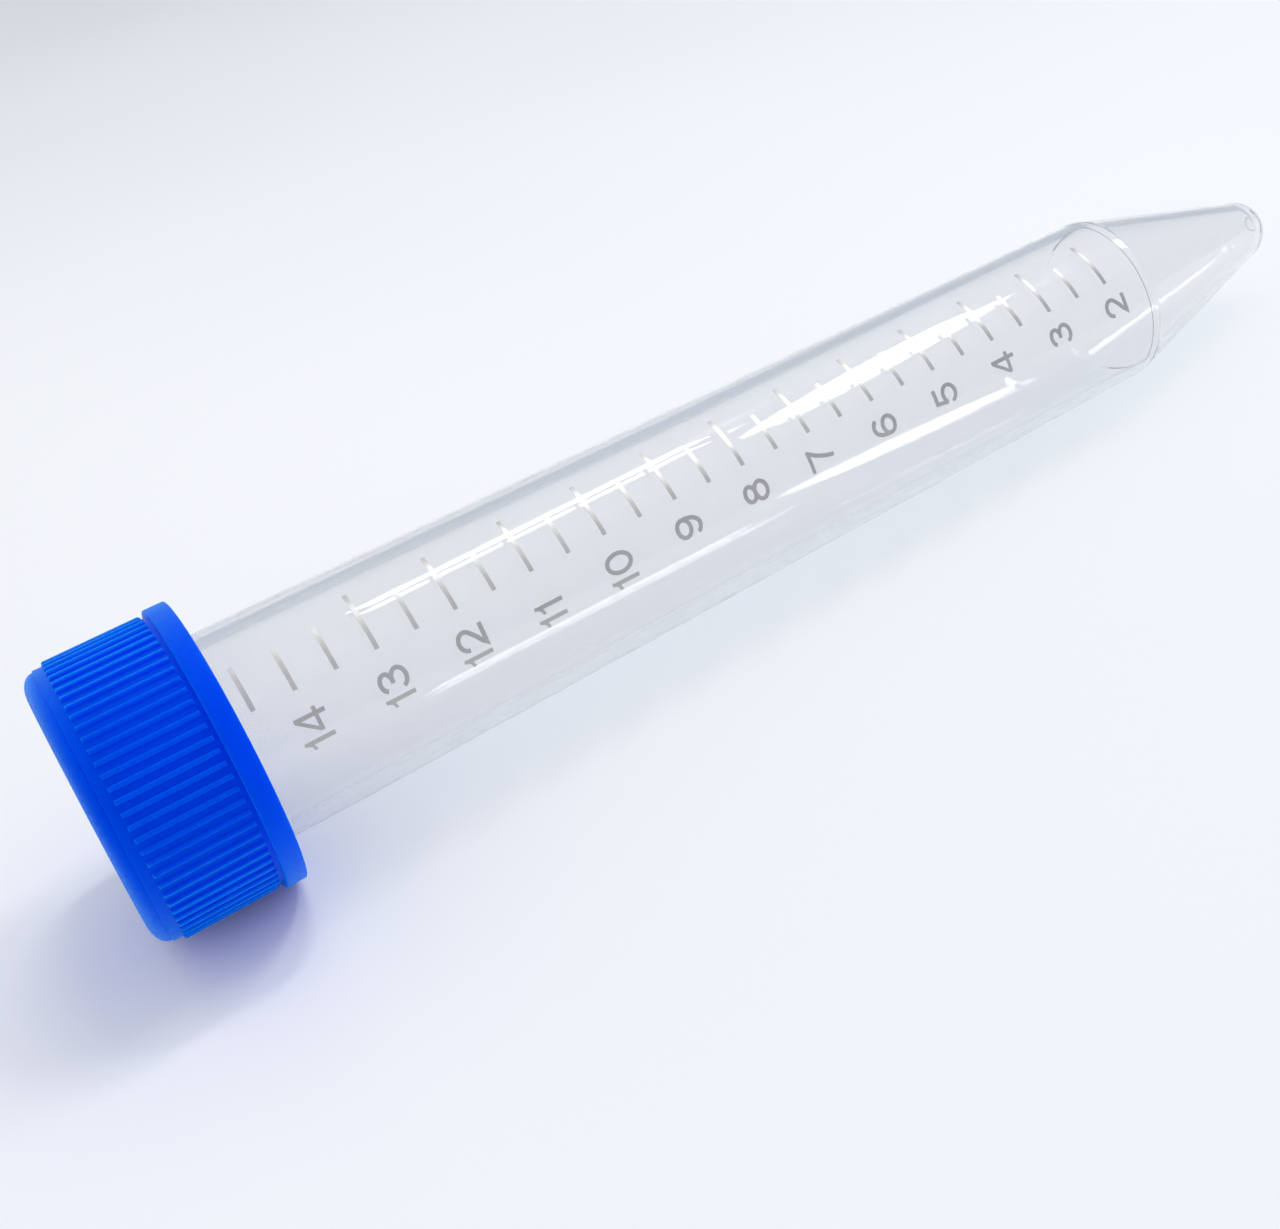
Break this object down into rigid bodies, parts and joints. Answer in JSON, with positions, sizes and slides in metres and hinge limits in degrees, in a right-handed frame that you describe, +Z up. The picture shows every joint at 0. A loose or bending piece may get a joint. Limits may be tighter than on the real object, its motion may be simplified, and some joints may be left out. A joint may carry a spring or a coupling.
{
  "type": "15 ml conical centrifuge tube with screw cap",
  "caption": "Clear plastic tube with a tapered conical tip and a printed volume scale, closed by a ribbed blue screw cap that turns and lifts on its thread.",
  "frame": {"origin": "on the surface that the tube lies on, under the middle of its bounding box", "axes": "+X runs along the lying tube towards its tip, which is 2.6 degrees lower than the cap; +Y is across it; +Z is up"},
  "size_m": [0.1193, 0.0232, 0.0233],
  "materials": {
    "clear_polypropylene": "clear gloss",
    "blue_polyethylene": "satin",
    "white_liner": "matte"
  },
  "bodies": {
    "tube": {"tube": "clear_polypropylene"},
    "liner": {"seal_liner": "white_liner"},
    "cap": {"screw_cap": "blue_polyethylene"}
  },
  "joints": [
    {"name": "cap_lift", "type": "slide", "parent": "tube", "child": "liner", "axis": [-0.999, 0, 0.0448], "range_m": [0, 0.015]},
    {"name": "cap_turn", "type": "hinge", "parent": "liner", "child": "cap", "pos_m": [-0.04773, 0, 0.01155], "axis": [-0.999, 0, 0.0448], "range_deg": [0, 1800]}
  ],
  "couplings": [
    {"joint": "cap_lift", "follows": "cap_turn", "m_per_rad": 0.00047746}
  ]
}
